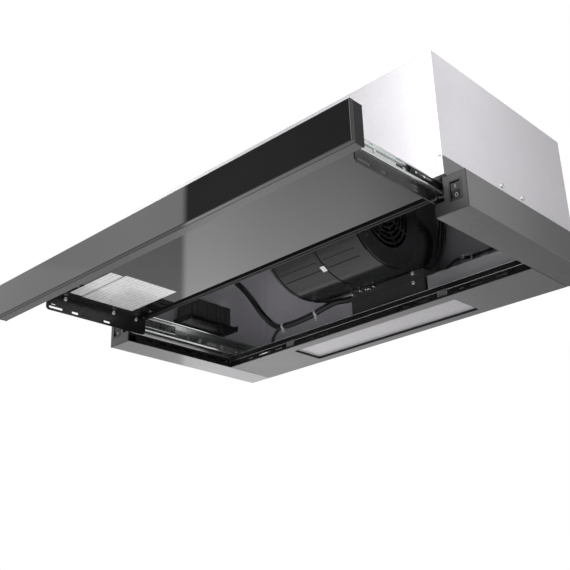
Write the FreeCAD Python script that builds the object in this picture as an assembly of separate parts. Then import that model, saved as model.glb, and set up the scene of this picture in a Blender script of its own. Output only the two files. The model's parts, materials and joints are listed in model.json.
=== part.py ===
"""Telescopic under-cabinet range hood, 60 cm class, with its visor pulled out.

Everything is laid out in tray coordinates: x = 0 on the centre line, y = 0 at the front of the
two side arms, z = 0 on the underside. write_node() moves each piece to the row frame, whose
origin is the centre of the cabinet fixing holes in the top panel. Millimetres, +Z up.
"""
import FreeCAD
import Part
import math
import os
from FreeCAD import Vector

# --- driving dimensions -------------------------------------------------------------------
HOOD_WIDTH = 598.0
BODY_DEPTH = 280.0
BODY_HEIGHT = 198.0
TRAY_HEIGHT = 43.0
ARM_WIDTH = 40.0
BOX_WIDTH = 552.0
BOX_FRONT = -3.0
UPSTAND_TOP = 66.0
REAR_STRIP_FRONT = 195.2
VISOR_TRAVEL = 161.0
VISOR_CLOSED_REACH = 21.0
VISOR_BAR_DEPTH = 18.0
SHEET = 0.8
GAP = 0.1

FIX_X, FIX_Y = 460.0, 200.0
FIX_HOLE = 3.0
OUTLET_Y = 140.0
DUCT_RADIUS = 59.5
COLLAR_HEIGHT = 40.0
GLAND_X, GLAND_Y = 200.0, 236.0

BLOWER_Y, BLOWER_Z = 148.0, 121.5
CASING_LEFT, CASING_SEAM, CASING_RIGHT = -66.0, 11.0, 84.0
CASING_R = 76.5
CASING_REAR, CASING_TOP = 275.5, 195.0
SCROLL_Z = 137.0
CASING_WALL = 2.0
GRILLE_R = 75.0
INLET_R = 51.0
IMPELLER_R = 66.0
MOTOR_R = 34.0
SHAFT_R = 4.0
RUNNING_GAP = 0.05

# --- values that follow from them ---------------------------------------------------------
HALF_W = HOOD_WIDTH / 2
HALF_BOX = BOX_WIDTH / 2
ARM_INNER = HALF_W - ARM_WIDTH
BOX_BOTTOM = TRAY_HEIGHT + 1.5
SIDE_INNER = HALF_BOX - SHEET
VISOR_FRONT = -(VISOR_CLOSED_REACH + VISOR_TRAVEL)
VISOR_REAR = VISOR_FRONT + VISOR_BAR_DEPTH
VISOR_TOP = TRAY_HEIGHT + 0.5
PANEL_Z = 39.0
PANEL_THICK = 3.2
PANEL_REAR = 24.0
BLOWER_MID = (CASING_LEFT + CASING_RIGHT) / 2
ROW_ORIGIN = Vector(0, BODY_DEPTH / 2, BODY_HEIGHT)

X_AXIS, Y_AXIS, Z_AXIS = Vector(1, 0, 0), Vector(0, 1, 0), Vector(0, 0, 1)
SIDES = ("left", "right")


# --- helpers ------------------------------------------------------------------------------
def block(x0, x1, y0, y1, z0, z1):
    """Box between two corners."""
    return Part.makeBox(x1 - x0, y1 - y0, z1 - z0, Vector(x0, y0, z0))


def rod(axis, start, radius, length):
    """Cylinder of that radius from start along axis."""
    return Part.makeCylinder(radius, length, Vector(*start), axis)


def tube_ring(axis, start, outer, inner, length):
    """Round tube from start along axis."""
    return rod(axis, start, outer, length).cut(rod(axis, start, inner, length))


def join(pieces):
    """One clean solid from pieces that touch or overlap."""
    first, rest = pieces[0], pieces[1:]
    return (first.multiFuse(rest) if rest else first).removeSplitter()


def mirror(shape):
    """The same piece for the left-hand side."""
    return shape.mirror(Vector(0, 0, 0), X_AXIS)


def sided(build):
    """Builds a right-hand piece and returns it for both sides."""
    right = build()
    return {"left": mirror(right), "right": right}


def round_edges(shape, radius, wanted):
    """Rounds the edges whose middle point passes the test."""
    edges = []
    for edge in shape.Edges:
        middle = edge.valueAt((edge.FirstParameter + edge.LastParameter) / 2)
        if wanted(middle):
            edges.append(edge)
    return shape.makeFillet(radius, edges)


def near(value, target, slack=0.02):
    return abs(value - target) < slack


def slot_y(x0, x1, y0, y1, z_mid, height):
    """Round-ended slot through a wall that faces X; it runs along Y."""
    r = height / 2
    body = block(x0, x1, y0 + r, y1 - r, z_mid - r, z_mid + r)
    ends = [rod(X_AXIS, (x0, y, z_mid), r, x1 - x0) for y in (y0 + r, y1 - r)]
    return join([body] + ends)


def slot_x(x0, x1, y0, y1, z_mid, height):
    """Round-ended slot through a wall that faces Y; it runs along X."""
    r = height / 2
    body = block(x0 + r, x1 - r, y0, y1, z_mid - r, z_mid + r)
    ends = [rod(Y_AXIS, (x, y0, z_mid), r, y1 - y0) for x in (x0 + r, x1 - r)]
    return join([body] + ends)


def screw(axis, start, head_r, head_h, shank_r, shank_l):
    """Pan-head screw: the head's outer face is at start and the shank follows along axis."""
    point = Vector(*start)
    shank_at = point + Vector(axis) * (head_h - 0.01)
    head = rod(axis, start, head_r, head_h)
    return head.fuse(Part.makeCylinder(shank_r, shank_l, shank_at, axis)).removeSplitter()


def cable(points, radius):
    """Round cable along straight runs joined by tangent arcs."""
    pts = [Vector(*p) for p in points]
    edges, here = [], pts[0]
    for before, corner, after in zip(pts, pts[1:], pts[2:]):
        inward, outward = (corner - before), (after - corner)
        shorter = min(inward.Length, outward.Length)
        inward.normalize()
        outward.normalize()
        turn = inward.getAngle(outward)
        reach = 0.45 * shorter
        bend = reach / math.tan(turn / 2)
        if bend < 3 * radius:
            print("tight bend", round(bend, 1), "at", tuple(corner))
        arc_in, arc_out = corner - inward * reach, corner + outward * reach
        bisector = outward - inward
        bisector.normalize()
        middle = corner + bisector * (bend / math.cos(turn / 2) - bend)
        edges.append(Part.LineSegment(here, arc_in).toShape())
        edges.append(Part.Arc(arc_in, middle, arc_out).toShape())
        here = arc_out
    edges.append(Part.LineSegment(here, pts[-1]).toShape())
    path = Part.Wire(edges)
    start_dir = pts[1] - pts[0]
    profile = Part.Wire(Part.makeCircle(radius, pts[0], start_dir))
    return path.makePipeShell([profile], True, False)


NODES = {}


def add(name, shape):
    NODES[name] = shape


def add_sided(name, shapes):
    for side in SIDES:
        add(name + "_" + side, shapes[side])


# --- galvanised box -----------------------------------------------------------------------
SIDE_FLANGE = 9.0
FRONT_EDGE = HALF_BOX - SIDE_FLANGE
RIVET_Z = 73.5
RIVET_YS = (116.0, 161.0)
RIVET_R = 1.6
TONGUE_X = 262.0


def side_panel():
    top = BODY_HEIGHT - SHEET - GAP
    rear = BODY_DEPTH - SHEET - GAP
    wall = block(SIDE_INNER, HALF_BOX, BOX_FRONT, rear, BOX_BOTTOM - 0.3, top)
    tongue = block(SIDE_INNER, HALF_BOX, 14, rear, 14, BOX_BOTTOM)
    front = block(FRONT_EDGE, HALF_BOX, BOX_FRONT, BOX_FRONT + SHEET, BOX_BOTTOM, top)
    back = block(HALF_BOX - 13, HALF_BOX, rear - SHEET, rear, BOX_BOTTOM, top)
    lid = block(HALF_BOX - 13, HALF_BOX, 6, rear - 6, top - SHEET, top)
    notch = block(FRONT_EDGE + 4, FRONT_EDGE + 8, BOX_FRONT - 1, BOX_FRONT + 2, 66, 67.2)
    panel = join([wall, tongue, front, back, lid]).cut(notch)
    for y in RIVET_YS:
        panel = panel.cut(rod(X_AXIS, (SIDE_INNER - 1, y, RIVET_Z), RIVET_R, 3))
    for y in SLIDE_SCREW_YS:
        panel = panel.cut(rod(X_AXIS, (SIDE_INNER - 1, y, SLIDE_Z), 1.6, 3))
    return panel


def front_panel():
    edge = FRONT_EDGE - 0.3
    top = BODY_HEIGHT - SHEET - GAP
    skin = block(-edge, edge, BOX_FRONT, BOX_FRONT + SHEET, BOX_BOTTOM, top)
    fold = block(-edge, edge, BOX_FRONT, OUTER_Y0 - 0.5, BOX_BOTTOM, BOX_BOTTOM + SHEET)
    return join([skin, fold])


def back_panel():
    rear = BODY_DEPTH
    inner = rear - 2 * SHEET - GAP
    top = BODY_HEIGHT - SHEET - GAP
    skin = join([block(-HALF_BOX, HALF_BOX, rear - SHEET, rear, BOX_BOTTOM, top),
                 block(-TONGUE_X, TONGUE_X, inner, rear, BOX_BOTTOM, BOX_BOTTOM + SHEET),
                 block(-TONGUE_X, TONGUE_X, inner, inner + SHEET, 14, BOX_BOTTOM + SHEET)])
    for x in (-180, 180):
        keyhole = rod(Y_AXIS, (x, rear - 2, 150), 4.5, 4)
        neck = block(x - 2.2, x + 2.2, rear - 2, rear + 2, 150, 160)
        skin = skin.cut(keyhole).cut(neck)
    return skin


def fixing_points():
    return [(sx * FIX_X / 2, OUTLET_Y + sy * FIX_Y / 2) for sx in (-1, 1) for sy in (-1, 1)]


def collar_screw_points():
    r = DUCT_RADIUS + 9
    angles = [math.radians(45 + 90 * k) for k in range(4)]
    return [(r * math.cos(a), OUTLET_Y + r * math.sin(a)) for a in angles]


def top_panel():
    z = BODY_HEIGHT - SHEET
    skin = block(-HALF_BOX, HALF_BOX, BOX_FRONT, BODY_DEPTH, z, BODY_HEIGHT)
    holes = [rod(Z_AXIS, (x, y, z - 1), FIX_HOLE, 3) for x, y in fixing_points()]
    holes += [rod(Z_AXIS, (x, y, z - 1), 1.6, 3) for x, y in collar_screw_points()]
    holes.append(rod(Z_AXIS, (0, OUTLET_Y, z - 1), DUCT_RADIUS - 1, 3))
    holes.append(rod(Z_AXIS, (GLAND_X, GLAND_Y, z - 1), 8.05, 3))
    return skin.cut(holes)


# --- painted canopy -----------------------------------------------------------------------
COVER_FRONT = 1.6


def arm_cover():
    y0, y1 = COVER_FRONT, BODY_DEPTH
    bottom = block(ARM_INNER, HALF_W, y0, y1, 0, SHEET)
    outside = block(HALF_W - SHEET, HALF_W, y0, y1, 0, TRAY_HEIGHT)
    top = block(HALF_BOX + GAP, HALF_W, y0, y1, TRAY_HEIGHT - SHEET, TRAY_HEIGHT)
    x0, x1 = HALF_BOX + GAP, HALF_BOX + GAP + SHEET
    upstand = block(x0, x1, y0, y1, TRAY_HEIGHT - SHEET, UPSTAND_TOP)
    nose = block(x0, x1, BOX_FRONT + 1, y0 + 1, TRAY_HEIGHT + GAP, UPSTAND_TOP)
    rear = block(ARM_INNER, HALF_W, y1 - SHEET, y1, 0, TRAY_HEIGHT)
    cover = join([bottom, outside, top, upstand, nose, rear])
    return round_edges(cover, 0.7, lambda p: near(p.x, HALF_W) and near(p.y, (y0 + y1) / 2, 1))


CAP_NOTCH_X, CAP_NOTCH_Z = 271.5, 14.9
SWITCH = {"x0": 278.5, "x1": 292.5, "z0": 12.5, "z1": 33.8}


def arm_cap():
    face = block(ARM_INNER, HALF_W, 0, COVER_FRONT - GAP, 0, TRAY_HEIGHT)
    face = round_edges(face, 0.6, lambda p: near(p.y, 0))
    slide_way = block(ARM_INNER - 1, CAP_NOTCH_X, -1, 3, CAP_NOTCH_Z, TRAY_HEIGHT + 1)
    sleeve_out = block(276.8, HALF_W - SHEET - GAP, 1, 12, SHEET + GAP, TRAY_HEIGHT - SHEET - GAP)
    sleeve_in = block(278.3, 296.6, 1.4, 13, 2.4, 40.4)
    opening = block(SWITCH["x0"] - 0.05, SWITCH["x1"] + 0.05, -1, 3,
                    SWITCH["z0"] - 0.05, SWITCH["z1"] + 0.05)
    return join([face.cut(slide_way), sleeve_out.cut(sleeve_in)]).cut(opening)


ROCKER_Y = 4.6
ROCKER_HALF_W, ROCKER_HALF_H = 5.3, 8.6
ROCKER_TILT = 7.0
SWITCH_MID_X = (SWITCH["x0"] + SWITCH["x1"]) / 2
SWITCH_MID_Z = (SWITCH["z0"] + SWITCH["z1"]) / 2


def switch_body():
    s = SWITCH
    body = block(s["x0"], s["x1"], -0.5, 12.5, s["z0"], s["z1"])
    rim = block(s["x0"] - 0.9, s["x1"] + 0.9, -0.5, -0.01, s["z0"] - 0.9, s["z1"] + 0.9)
    cavity = block(s["x0"] + 1, s["x1"] - 1, -1, 10, s["z0"] + 1, s["z1"] - 1)
    pivot = rod(X_AXIS, (s["x0"] + 0.4, ROCKER_Y, SWITCH_MID_Z), 1.06, s["x1"] - s["x0"] - 0.8)
    tabs = [block(x, x + 2.5, 12.4, 17, SWITCH_MID_Z - 3, SWITCH_MID_Z + 3) for x in (280, 288)]
    return join([body, rim] + tabs).cut(cavity).cut(pivot)


def rocker():
    """Two-position rocker with its lower half pressed in."""
    outline = [(-4.4, 0), (-3.4, ROCKER_HALF_H), (-1.2, ROCKER_HALF_H), (2.4, 2.4),
               (2.4, -2.4), (-1.2, -ROCKER_HALF_H), (-3.4, -ROCKER_HALF_H)]
    x0 = SWITCH_MID_X - ROCKER_HALF_W
    pts = [Vector(x0, ROCKER_Y + y, SWITCH_MID_Z + z) for y, z in outline]
    face = Part.Face(Part.makePolygon(pts + pts[:1]))
    key = face.extrude(X_AXIS * (2 * ROCKER_HALF_W))
    stub = rod(X_AXIS, (SWITCH["x0"] + 0.5, ROCKER_Y, SWITCH_MID_Z), 1.0,
               SWITCH["x1"] - SWITCH["x0"] - 1.0)
    turned = join([key, stub])
    turned.rotate(Vector(0, ROCKER_Y, SWITCH_MID_Z), X_AXIS, ROCKER_TILT)
    return turned


LINER_TOP = 13.0
REAR_JOINT = 0.9


def arm_liner():
    """Black inner wall of the arm, with louvres, and the shelf under the slide."""
    y0, y1 = 14.0, REAR_STRIP_FRONT - 2
    x0 = ARM_INNER + GAP
    wall = block(x0, x0 + SHEET, y0, y1, SHEET + GAP, LINER_TOP)
    shelf = block(x0, SIDE_INNER - GAP, y0, y1, LINER_TOP - SHEET, LINER_TOP)
    lip = block(SIDE_INNER - GAP - SHEET, SIDE_INNER - GAP, y0, y1, LINER_TOP - SHEET, 20)
    liner = join([wall, shelf, lip])
    for start in range(30, 180, 24):
        liner = liner.cut(slot_y(x0 - 1, x0 + 2, start, start + 14, 8.2, 2.2))
    return liner


def rear_cover():
    x1, y0, y1 = ARM_INNER - REAR_JOINT, REAR_STRIP_FRONT, BODY_DEPTH
    bottom = block(-x1, x1, y0, y1, 0, SHEET)
    rear = block(-x1, x1, y1 - SHEET, y1, 0, TRAY_HEIGHT)
    window = block(-LIGHT_X - 0.5, LIGHT_X + 0.5, LIGHT_Y0 - 0.5, LIGHT_Y1 + 0.5, -1, 2)
    window = round_edges(window, 4, lambda p: near(p.z, 0.5))
    return join([bottom, rear]).cut(window)


SHELF_TOP = 12.5
WEB_TOP = 17.0
CHANNEL_FRONT = 194.2
CATCH_X, CATCH_WIDTH = 132.5, 15.0


def rear_channel():
    x1 = ARM_INNER - 2 * GAP
    web = block(-x1, x1, CHANNEL_FRONT, CHANNEL_FRONT + 0.9, 0.2, WEB_TOP)
    shelf = block(-x1, x1, CHANNEL_FRONT, 203, SHELF_TOP - 0.9, SHELF_TOP)
    rail = join([web, shelf])
    rows = ((149, 164), (173, 198), (86, 111), (59, 81), (210, 226))
    for near_x, far_x in rows:
        for x0, x1 in ((near_x, far_x), (-far_x, -near_x)):
            rail = rail.cut(slot_x(x0, x1, CHANNEL_FRONT - 1, CHANNEL_FRONT + 2, 4.4, 2.6))
    for x in (-CATCH_X, CATCH_X):
        rail = rail.cut(rod(Y_AXIS, (x, CHANNEL_FRONT - 1, 6.4), 1.6, 3))
    return rail.cut(block(-3.4, -3.0, CHANNEL_FRONT - 1, CHANNEL_FRONT + 2, 0, 8))


def filter_catch(x):
    """Spring clip that holds a grease filter's rear edge."""
    x0, x1 = x - CATCH_WIDTH / 2, x + CATCH_WIDTH / 2
    y = CHANNEL_FRONT - 0.02
    leaf = block(x0, x1, y - 0.6, y, 2.6, 10.6)
    ribs = [block(x0 + k, x0 + k + 1.6, y - 1.3, y - 0.5, 3.4, 9.8) for k in (2.2, 6.7, 11.2)]
    tongue = block(x0 + 3, x1 - 3, y - 2.6, y - 0.5, 2.6, 3.2)
    pin = rod(Y_AXIS, (x, y - 0.1, 6.4), 1.5, 2.6)
    return join([leaf, tongue, pin] + ribs)


def filter_catches():
    return Part.makeCompound([filter_catch(-CATCH_X), filter_catch(CATCH_X)])


# --- light --------------------------------------------------------------------------------
LIGHT_X, LIGHT_Y0, LIGHT_Y1 = 140.0, 210.5, 265.5
LIGHT_RECESS, LIGHT_WALL = 3.2, 1.4
HOUSING_X, HOUSING_FRONT, HOUSING_TOP = 152.0, 203.2, 13.5
BAY = {"x0": 106.0, "x1": 256.0, "y1": 262.0, "z1": 40.5}
BOX_X0, BOX_X1 = -19.0, 104.0
CONTROL = {"y0": 199.0, "y1": 275.0, "z0": 13.6, "z1": 52.0}
BOX_SCREW_X, BOX_SCREW_ZS = 87.5, (35.4, 48.6)


def light_diffuser():
    """Shallow tray set back from the underside, with a brim that rests on the sheet."""
    brim = block(-LIGHT_X - 4, LIGHT_X + 4, LIGHT_Y0 - 4, LIGHT_Y1 + 4, SHEET + GAP, 2.2)
    tub_x = LIGHT_X + LIGHT_WALL
    tub = block(-tub_x, tub_x, LIGHT_Y0 - LIGHT_WALL, LIGHT_Y1 + LIGHT_WALL,
                SHEET + GAP, LIGHT_RECESS + LIGHT_WALL)
    recess = block(-LIGHT_X, LIGHT_X, LIGHT_Y0, LIGHT_Y1, -1, LIGHT_RECESS)
    recess = round_edges(recess, 3.5, lambda p: near(p.z, 1.1))
    return join([brim, tub]).cut(recess)


def led_board():
    foot = LIGHT_RECESS + LIGHT_WALL + GAP
    board = block(-130, 130, 226, 250, 8, 9.6)
    chips = [block(x - 1.8, x + 1.8, 236.2, 239.8, 7.2, 8.1) for x in range(-120, 121, 16)]
    legs = [block(x - 4, x + 4, 226, 250, foot, 8.1) for x in (-126, 126)]
    return join([board] + chips + legs)


def light_housing():
    """Galvanised cover over the light; the control box stands on it and a driver bay rises beside."""
    y0, y1 = HOUSING_FRONT, BODY_DEPTH - SHEET - GAP
    z0, z1 = SHEET + GAP, HOUSING_TOP
    front = block(-HOUSING_X, HOUSING_X, y0, y0 + SHEET, z0, z1)
    top = block(-HOUSING_X, HOUSING_X, y0, y1, z1 - SHEET, z1)
    ends = [block(x, x + SHEET, y0, y1, z0, z1) for x in (-HOUSING_X, HOUSING_X - SHEET)]
    bay = BAY
    face = block(bay["x0"], bay["x1"], y0, y0 + SHEET, z1 - SHEET, bay["z1"])
    lid = block(bay["x0"], bay["x1"], y0, bay["y1"], bay["z1"] - SHEET, bay["z1"])
    cheeks = [block(x, x + SHEET, y0, bay["y1"], z1 - SHEET, bay["z1"])
              for x in (bay["x0"], bay["x1"] - SHEET)]
    return join([front, top, face, lid] + ends + cheeks)


# --- ball-bearing slides ------------------------------------------------------------------
SLIDE_Z = 35.0
SLIDE_LENGTH = 250.0
OUTER_Y0 = 4.0
INNER_Y0 = VISOR_REAR + 0.3
OUTER_HALF_H, INNER_HALF_H = 12.5, 7.0
STEEL = 1.2
INNER_X = 261.3
BALL_R = 2.1
BALL_X = 265.9
BALL_COUNT = 6
CAGE_Y0, CAGE_LENGTH = 8.0, 76.0
SLIDE_SCREW_YS = (40.0, 145.0, 224.0)
VISOR_SCREW_YS = (-104.0, -26.0, 13.0)


def slide_outer():
    x0, x1 = 262.2, SIDE_INNER - GAP
    y0, y1 = OUTER_Y0, OUTER_Y0 + SLIDE_LENGTH
    z0, z1 = SLIDE_Z - OUTER_HALF_H, SLIDE_Z + OUTER_HALF_H
    web = block(x1 - STEEL, x1, y0, y1, z0, z1)
    lips = [block(x0, x1, y0, y1, z, z + STEEL) for z in (z0, z1 - STEEL)]
    returns = [block(x0, x0 + STEEL, y0, y1, z, z + 2.9) for z in (z0, z1 - 2.9)]
    member = join([web] + lips + returns)
    member = round_edges(member, 0.9, lambda p: near(p.x, x0) and near(p.z, z0)
                         or near(p.x, x0) and near(p.z, z1))
    for y in SLIDE_SCREW_YS:
        member = member.cut(rod(X_AXIS, (x1 - 3, y, SLIDE_Z), 1.6, 4))
    for y in (84, 190):
        member = member.cut(rod(X_AXIS, (x1 - 3, y, SLIDE_Z), 4.0, 4))
    member = member.cut(slot_y(x1 - 3, x1 + 1, 160, 178, SLIDE_Z, 5))
    lance = block(x1 - 3.6, x1 - STEEL + 0.1, 122, 127, SLIDE_Z - 5, SLIDE_Z + 5)
    return join([member, lance])


def slide_inner():
    x0, x1 = INNER_X, INNER_X + 5.0
    y0, y1 = INNER_Y0, INNER_Y0 + SLIDE_LENGTH
    z0, z1 = SLIDE_Z - INNER_HALF_H, SLIDE_Z + INNER_HALF_H
    web = block(x0, x0 + STEEL, y0, y1, z0, z1)
    lips = [block(x0, x1, y0, y1, z, z + STEEL) for z in (z0, z1 - STEEL)]
    returns = [block(x1 - STEEL, x1, y0, y1, z, z + 2.4) for z in (z0, z1 - 2.4)]
    member = join([web] + lips + returns)
    member = round_edges(member, 0.9, lambda p: near(p.x, x1) and near(p.z, z0)
                         or near(p.x, x1) and near(p.z, z1))
    for y in VISOR_SCREW_YS:
        member = member.cut(rod(X_AXIS, (x0 - 1, y, SLIDE_Z), 1.6, 4))
    for y in (-130, -62, 62):
        member = member.cut(slot_y(x0 - 1, x0 + 2, y - 6, y + 6, SLIDE_Z, 4.2))
    return member


def ball_cage():
    """Strip bent to a channel, and loose balls in the holes of its two flanges."""
    y0, y1 = CAGE_Y0, CAGE_Y0 + CAGE_LENGTH
    offset = INNER_HALF_H + GAP / 2 + BALL_R
    rows = (SLIDE_Z - offset, SLIDE_Z + offset)
    web = block(269.0, 269.6, y0, y1, rows[0] - 0.3, rows[1] + 0.3)
    cage = join([web] + [block(263.2, 269.6, y0, y1, z - 0.3, z + 0.3) for z in rows])
    balls = []
    for k in range(BALL_COUNT):
        y = y0 + 5 + k * (CAGE_LENGTH - 10) / (BALL_COUNT - 1)
        for z in rows:
            cage = cage.cut(rod(Z_AXIS, (BALL_X, y, z - 1), BALL_R + 0.04, 2))
            balls.append(Part.makeSphere(BALL_R, Vector(BALL_X, y, z)))
    return Part.makeCompound([cage] + balls)


# --- visor --------------------------------------------------------------------------------
SLAB = 5.2
BRACKET_X = 260.0
BRACKET_Y0, BRACKET_Y1 = -131.0, 30.0
BRACKET_Z0 = 15.0


def visor_front_panel():
    slab = block(-HALF_W, HALF_W, VISOR_FRONT, VISOR_FRONT + SLAB, 0, VISOR_TOP)
    slab = round_edges(slab, 0.8, lambda p: near(p.y, VISOR_FRONT))
    return slab


def visor_frame():
    x1 = HALF_W - 2.0
    front = VISOR_FRONT + SLAB + GAP
    wall = block(-x1, x1, front, front + SHEET, 1.2, VISOR_TOP - 0.2)
    bottom = block(-x1, x1, front + 0.8, VISOR_REAR, 0.2, 1.3)
    bottom = round_edges(bottom, 0.5, lambda p: near(p.z, 0.2) and near(p.x, 0, 1))
    rear = block(-x1, x1, VISOR_REAR - SHEET, VISOR_REAR, 0.9, PANEL_Z - GAP)
    top = block(-x1, x1, front, VISOR_REAR - 0.4, VISOR_TOP - 1, VISOR_TOP - 0.2)
    return join([wall, bottom, rear, top])


def visor_end_cap():
    x0 = HALF_W - 2.0 + GAP
    front = VISOR_FRONT + SLAB + GAP
    cap = block(x0, HALF_W, front, VISOR_REAR, 0, VISOR_TOP)
    return round_edges(cap, 0.7, lambda p: near(p.x, HALF_W))


def visor_panel():
    x1 = BRACKET_X - 0.2
    sheet = block(-x1, x1, VISOR_REAR - 10, PANEL_REAR, PANEL_Z, PANEL_Z + PANEL_THICK)
    return round_edges(sheet, 0.6, lambda p: near(p.z, PANEL_Z) and abs(p.x) > x1 - 1)


def visor_rear_rail():
    x1 = BRACKET_X - 0.5
    z0 = PANEL_Z - 2.4
    lip = block(-x1, x1, PANEL_REAR - 3, PANEL_REAR + 0.1, z0, PANEL_Z)
    wall = block(-x1, x1, PANEL_REAR + 0.05, PANEL_REAR + 5.5, z0, VISOR_TOP - 0.4)
    groove = block(-x1 - 1, x1 + 1, PANEL_REAR + 0.6, PANEL_REAR + 2.2, z0 - 1, z0 + 1.2)
    rail = join([lip, wall]).cut(groove)
    return round_edges(rail, 0.3, lambda p: near(p.z, z0) and near(p.x, 0, 1))


def bracket(third_slots):
    """Black angle under the panel's side edge; the inner slide is screwed to it."""
    x0, x1 = BRACKET_X, BRACKET_X + STEEL
    plate = block(x0, x1, BRACKET_Y0, BRACKET_Y1, BRACKET_Z0, PANEL_Z)
    plate = round_edges(plate, 5, lambda p: near(p.z, BRACKET_Z0) and near(p.x, (x0 + x1) / 2))
    flange = block(x0 - 14, x1, BRACKET_Y0, PANEL_REAR - 4, PANEL_Z - 0.9, PANEL_Z)
    angle = join([plate, flange])
    slots = [slot_y(x0 - 1, x1 + 1, -127, -106, 19.4, 3.0)]
    slots += [slot_y(x0 - 1, x1 + 1, -92, -81.5, 19.4, 3.2)]
    slots += [slot_y(x0 - 1, x1 + 1, -41, -30, z, 2.8) for z in third_slots]
    slots += [slot_y(x0 - 1, x1 + 1, -124, -117, 23.6, 1.2)]
    slots += [rod(X_AXIS, (x0 - 1, y, SLIDE_Z), 1.6, 4) for y in VISOR_SCREW_YS]
    return angle.cut(slots)


def corner_block():
    """Plastic bumper with a stud at the visor's rear corner, under the bracket's flange."""
    x0, y0, z0 = 240.0, 16.6, 31.0
    body = block(x0, BRACKET_X - GAP, y0, PANEL_REAR - 3.4, z0, PANEL_Z - 1.0)
    body = round_edges(body, 1.5, lambda p: near(p.z, z0))
    stud = rod(Y_AXIS, (x0 + 4.5, y0 - 4.5, 34.6), 2.6, 5)
    return join([body, stud])


def visor_screws():
    right = [screw(X_AXIS, (BRACKET_X - 1.5, y, SLIDE_Z), 3.0, 1.49, 1.5, 5) for y in VISOR_SCREW_YS]
    left = [mirror(s) for s in right]
    return Part.makeCompound(left + right)


def blank_labels():
    """Two plain foil labels on the panel's underside, with nothing on them."""
    z0 = PANEL_Z - 0.15
    small = block(-244.0, -154.0, -107.0, -88.3, z0, PANEL_Z)
    large = block(-245.8, -149.5, -86.7, -5.0, z0, PANEL_Z)
    return Part.makeCompound([small, large])


# --- blower -------------------------------------------------------------------------------
SEAM_FLANGE_R = CASING_R + 1.2
RIB_ANGLES = (232.0, 242.0)
CLIP_ANGLES = (240.0, 205.0, 170.0)
ARM_ANGLES = (165.0, 210.0, 255.0)


def along_x(x0, x1, radius):
    """Cylinder about the blower's axis."""
    return rod(X_AXIS, (x0, BLOWER_Y, BLOWER_Z), radius, x1 - x0)


def around_axis(shape, degrees):
    """Turns a piece drawn at +Y (0 degrees) about the blower's axis."""
    turned = shape.copy()
    turned.rotate(Vector(0, BLOWER_Y, BLOWER_Z), X_AXIS, degrees)
    return turned


def scroll(x0, x1, inset):
    """Snail-shaped solid of the casing: round in front, widening to the rear, flat on top."""
    r = CASING_R - inset
    rear = CASING_REAR - inset
    top = CASING_TOP - inset
    top_front = BLOWER_Y - math.sqrt(r ** 2 - (top - BLOWER_Z) ** 2)
    low = Vector(x0, BLOWER_Y, BLOWER_Z - r)
    front = Vector(x0, BLOWER_Y - r, BLOWER_Z)
    high = Vector(x0, top_front, top)
    corner = Vector(x0, rear, top)
    back = Vector(x0, rear, SCROLL_Z)
    sweep = Part.Ellipse(back, low, Vector(x0, BLOWER_Y, SCROLL_Z))
    edges = [Part.Arc(low, front, high).toShape(),
             Part.LineSegment(high, corner).toShape(),
             Part.LineSegment(corner, back).toShape(),
             Part.ArcOfEllipse(sweep, 0, math.pi / 2).toShape()]
    return Part.Face(Part.Wire(edges)).extrude(X_AXIS * (x1 - x0))


def casing_shell():
    wall = CASING_WALL
    neck_r = DUCT_RADIUS - 0.5
    neck_top = BODY_HEIGHT - SHEET - 0.3
    above_box = block(0, 200, 0, 300, CONTROL["z1"] + 4, 300)
    below_top = block(-200, 200, 0, 300, 0, CASING_TOP)
    flange = along_x(CASING_SEAM - 2.2, CASING_SEAM + 2.2, SEAM_FLANGE_R).common(below_top)
    outer = [scroll(CASING_LEFT, CASING_RIGHT, 0),
             scroll(CASING_LEFT, CASING_LEFT + 3, -1.2),
             scroll(CASING_RIGHT - 3, CASING_RIGHT, -1.2).common(above_box),
             flange,
             rod(Z_AXIS, (0, OUTLET_Y, BLOWER_Z), neck_r, neck_top - BLOWER_Z)]
    inner = [scroll(CASING_LEFT + wall, CASING_RIGHT - wall, wall),
             rod(Z_AXIS, (0, OUTLET_Y, BLOWER_Z), neck_r - wall, BODY_HEIGHT - BLOWER_Z)]
    ribs = []
    for angle in RIB_ANGLES:
        for x0, x1 in ((CASING_LEFT + 6, CASING_SEAM - 7), (CASING_SEAM + 7, CASING_RIGHT - 16)):
            rib = block(x0, x1, BLOWER_Y + CASING_R - 1, BLOWER_Y + CASING_R + 0.9,
                        BLOWER_Z - 0.7, BLOWER_Z + 0.7)
            ribs.append(around_axis(rib, angle))
    shell = join(outer + ribs).cut(join(inner))
    return shell.cut(along_x(CASING_LEFT - 1, CASING_RIGHT + 1, INLET_R))


def casing_halves():
    shell = casing_shell()
    far = 300
    left_side = block(-far, CASING_SEAM - 0.15, -far, far, 0, far)
    right_side = block(CASING_SEAM + 0.15, far, -far, far, 0, far)
    return {"left": shell.common(left_side), "right": shell.common(right_side)}


def casing_clip(angle):
    """Spring clip over the flanges of the two casing halves."""
    r = SEAM_FLANGE_R + 0.05
    width = 9.0
    x0, x1 = CASING_SEAM - 3.6, CASING_SEAM + 3.6
    y = BLOWER_Y
    z0, z1 = BLOWER_Z - width / 2, BLOWER_Z + width / 2
    back = block(x0, x1, y + r, y + r + 1.0, z0, z1)
    legs = [block(x, x + 1.2, y + r - 1.1, y + r + 1.0, z0, z1) for x in (x0, x1 - 1.2)]
    return around_axis(join([back] + legs), angle)


def casing_clips():
    return Part.makeCompound([casing_clip(a) for a in CLIP_ANGLES])


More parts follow.
